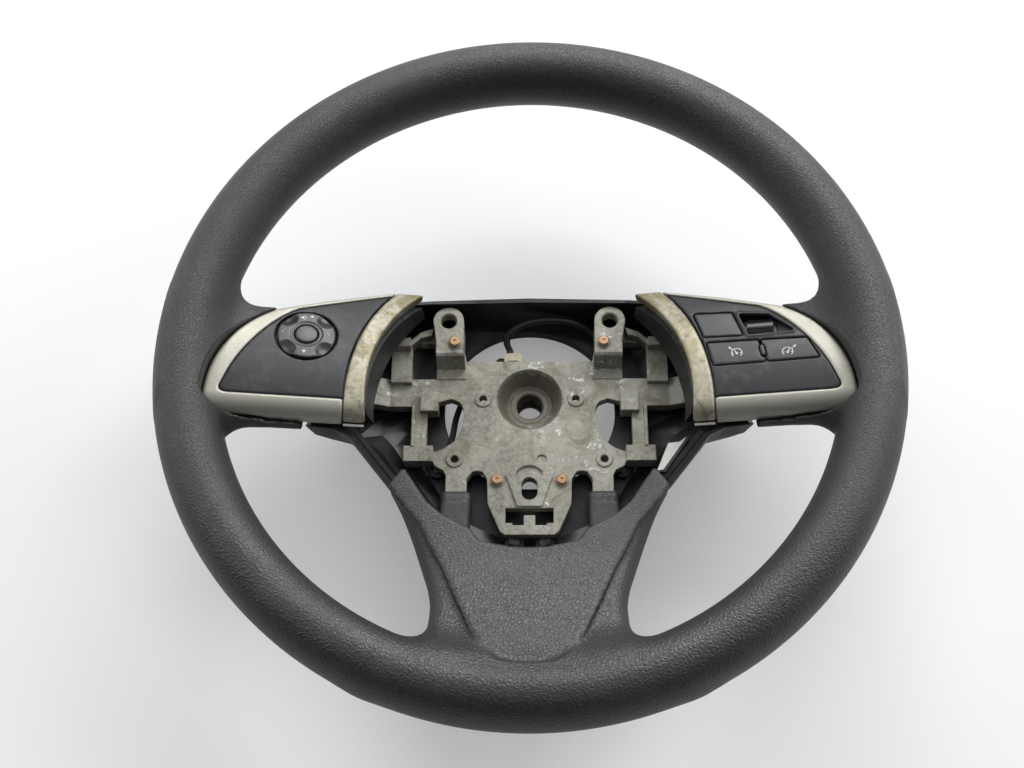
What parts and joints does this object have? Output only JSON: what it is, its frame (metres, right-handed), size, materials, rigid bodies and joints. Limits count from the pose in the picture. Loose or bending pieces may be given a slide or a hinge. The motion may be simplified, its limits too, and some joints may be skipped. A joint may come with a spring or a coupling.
{
  "type": "car steering wheel",
  "caption": "Three-spoke car steering wheel without airbag: cast hub armature, moulded grip, rear cover and two thumb switch pods with working keys, tilting ring and roller.",
  "frame": {"origin": "middle of the column bush's top ring, on the steering axis", "axes": "+Z along the steering axis towards the driver, +Y to twelve o'clock, +X to three o'clock"},
  "size_m": [0.376, 0.376, 0.109],
  "materials": {
    "cast": "die-cast magnesium, bead-blasted grey with pale corrosion and brown dust",
    "bush_steel": "machined steel with 36 serrations",
    "copper_stud": "copper coloured contact studs",
    "grip_pu": "dark grey polyurethane skin with a leather grain",
    "cover_plastic": "black moulded cover, semi-gloss and dusty",
    "screw_steel": "dark plated steel",
    "housing_plastic": "dark grey moulding",
    "board_green": "green circuit board",
    "silicone": "pale silicone",
    "panel_plastic": "blue-grey satin moulding",
    "bezel_silver": "warm satin silver paint on plastic",
    "band_silver": "worn and stained satin silver paint",
    "acetal": "natural acetal",
    "key_plastic": "blue-grey satin moulding with pale symbols",
    "ring_plastic": "black moulding, satin",
    "roller_black": "glossy black",
    "wire_black": "black wire sleeve",
    "connector_beige": "beige connector housing"
  },
  "bodies": {
    "wheel": {"armature": "cast", "rim_core": "cast", "hub_bush": "bush_steel", "horn_contacts": "copper_stud", "grip": "grip_pu", "rear_cover": "cover_plastic", "cover_screws": "screw_steel", "left_housing": "housing_plastic", "left_board": "board_green", "left_dome_mat": "silicone", "left_panel": "panel_plastic", "left_bezel": "bezel_silver", "left_band": "band_silver", "right_housing": "housing_plastic", "right_board": "board_green", "right_dome_mat": "silicone", "right_panel": "panel_plastic", "right_bezel": "bezel_silver", "right_band": "band_silver", "pod_screws": "screw_steel", "harness_loom": "wire_black", "harness_branch": "wire_black", "loom_connector": "connector_beige"},
    "rocker_gimbal": {"rocker_gimbal": "acetal"},
    "audio_ring": {"audio_ring": "ring_plastic"},
    "mode_button": {"mode_button": "ring_plastic"},
    "cancel_button": {"cancel_button": "key_plastic"},
    "set_roller": {"set_roller": "roller_black"},
    "cruise_button": {"cruise_button": "key_plastic"},
    "limiter_button": {"limiter_button": "key_plastic"}
  },
  "joints": [
    {"name": "gimbal_tilt", "type": "hinge", "parent": "wheel", "child": "rocker_gimbal", "pos_m": [-0.11557, 0.01372, 0.05464], "axis": [-0.9859, 0, 0.1676], "range_deg": [-2.4, 2.4], "stiffness_Nm_per_rad": 1.5},
    {"name": "ring_tilt", "type": "hinge", "parent": "rocker_gimbal", "child": "audio_ring", "pos_m": [-0.11557, 0.01372, 0.05464], "axis": [-0.0398, 0.9715, -0.2338], "range_deg": [-2.4, 2.4], "stiffness_Nm_per_rad": 1.5},
    {"name": "mode_press", "type": "slide", "parent": "wheel", "child": "mode_button", "axis": [-0.1628, -0.2372, -0.9577], "range_m": [0, 0.0009], "stiffness_N_per_m": 2500},
    {"name": "cancel_press", "type": "slide", "parent": "wheel", "child": "cancel_button", "axis": [0.1628, -0.2372, -0.9577], "range_m": [0, 0.0009], "stiffness_N_per_m": 2500},
    {"name": "roller_turn", "type": "hinge", "parent": "wheel", "child": "set_roller", "pos_m": [0.12032, 0.01767, 0.05301], "axis": [0.9859, 0, 0.1676], "range_deg": [-12, 12], "stiffness_Nm_per_rad": 0.25},
    {"name": "cruise_press", "type": "slide", "parent": "wheel", "child": "cruise_button", "axis": [0.1628, -0.2372, -0.9577], "range_m": [0, 0.0009], "stiffness_N_per_m": 2500},
    {"name": "limiter_press", "type": "slide", "parent": "wheel", "child": "limiter_button", "axis": [0.1628, -0.2372, -0.9577], "range_m": [0, 0.0009], "stiffness_N_per_m": 2500}
  ]
}
